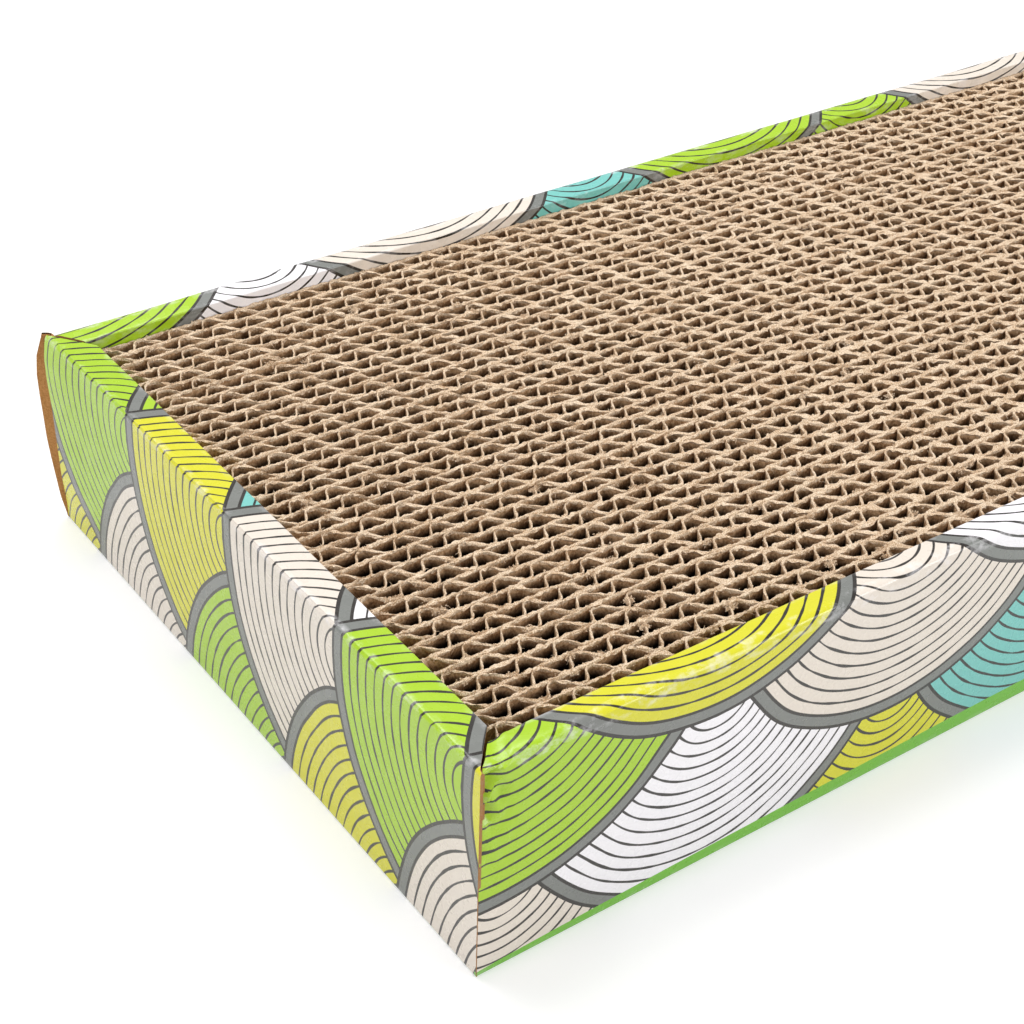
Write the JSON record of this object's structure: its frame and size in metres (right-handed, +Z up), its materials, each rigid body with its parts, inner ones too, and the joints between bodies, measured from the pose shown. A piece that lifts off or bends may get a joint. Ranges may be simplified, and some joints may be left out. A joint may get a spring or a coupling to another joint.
{
  "type": "cat scratcher",
  "caption": "Low rectangular cat scratcher: a folded board tray with hollow roll-over walls around a loose, reversible pad of corrugated board strips on edge.",
  "frame": {"origin": "middle of the tray's underside, on the surface it stands on", "axes": "+X along the tray, +Y across it, +Z up"},
  "size_m": [0.45, 0.158, 0.0465],
  "materials": {
    "printed_board": null,
    "printed_underside": "plain green print below, bare kraft above",
    "kraft_board": "bare kraft back of the carton",
    "corrugated_board": "raw cut corrugated board with fuzzy edges"
  },
  "bodies": {
    "tray": {"base_panel": "printed_underside", "front_wall": "printed_board", "back_wall": "printed_board", "left_end_wall": "printed_board", "right_end_wall": "printed_board", "corner_flap_front_left": "kraft_board", "corner_flap_front_right": "kraft_board", "corner_flap_back_left": "kraft_board", "corner_flap_back_right": "kraft_board"},
    "pad": {"strip_01": "corrugated_board", "strip_02": "corrugated_board", "strip_03": "corrugated_board", "strip_04": "corrugated_board", "strip_05": "corrugated_board", "strip_06": "corrugated_board", "strip_07": "corrugated_board", "strip_08": "corrugated_board", "strip_09": "corrugated_board", "strip_10": "corrugated_board", "strip_11": "corrugated_board", "strip_12": "corrugated_board", "strip_13": "corrugated_board", "strip_14": "corrugated_board", "strip_15": "corrugated_board", "strip_16": "corrugated_board", "strip_17": "corrugated_board", "strip_18": "corrugated_board", "strip_19": "corrugated_board", "strip_20": "corrugated_board", "strip_21": "corrugated_board", "strip_22": "corrugated_board", "strip_23": "corrugated_board", "strip_24": "corrugated_board", "strip_25": "corrugated_board", "strip_26": "corrugated_board", "strip_27": "corrugated_board", "strip_28": "corrugated_board", "strip_29": "corrugated_board", "strip_30": "corrugated_board", "strip_31": "corrugated_board", "strip_32": "corrugated_board", "strip_33": "corrugated_board", "strip_34": "corrugated_board", "strip_35": "corrugated_board", "strip_36": "corrugated_board"}
  },
  "joints": [
    {"name": "pad_lift", "type": "slide", "parent": "tray", "child": "pad", "axis": [0, 0, 1], "range_m": [0, 0.06]}
  ]
}
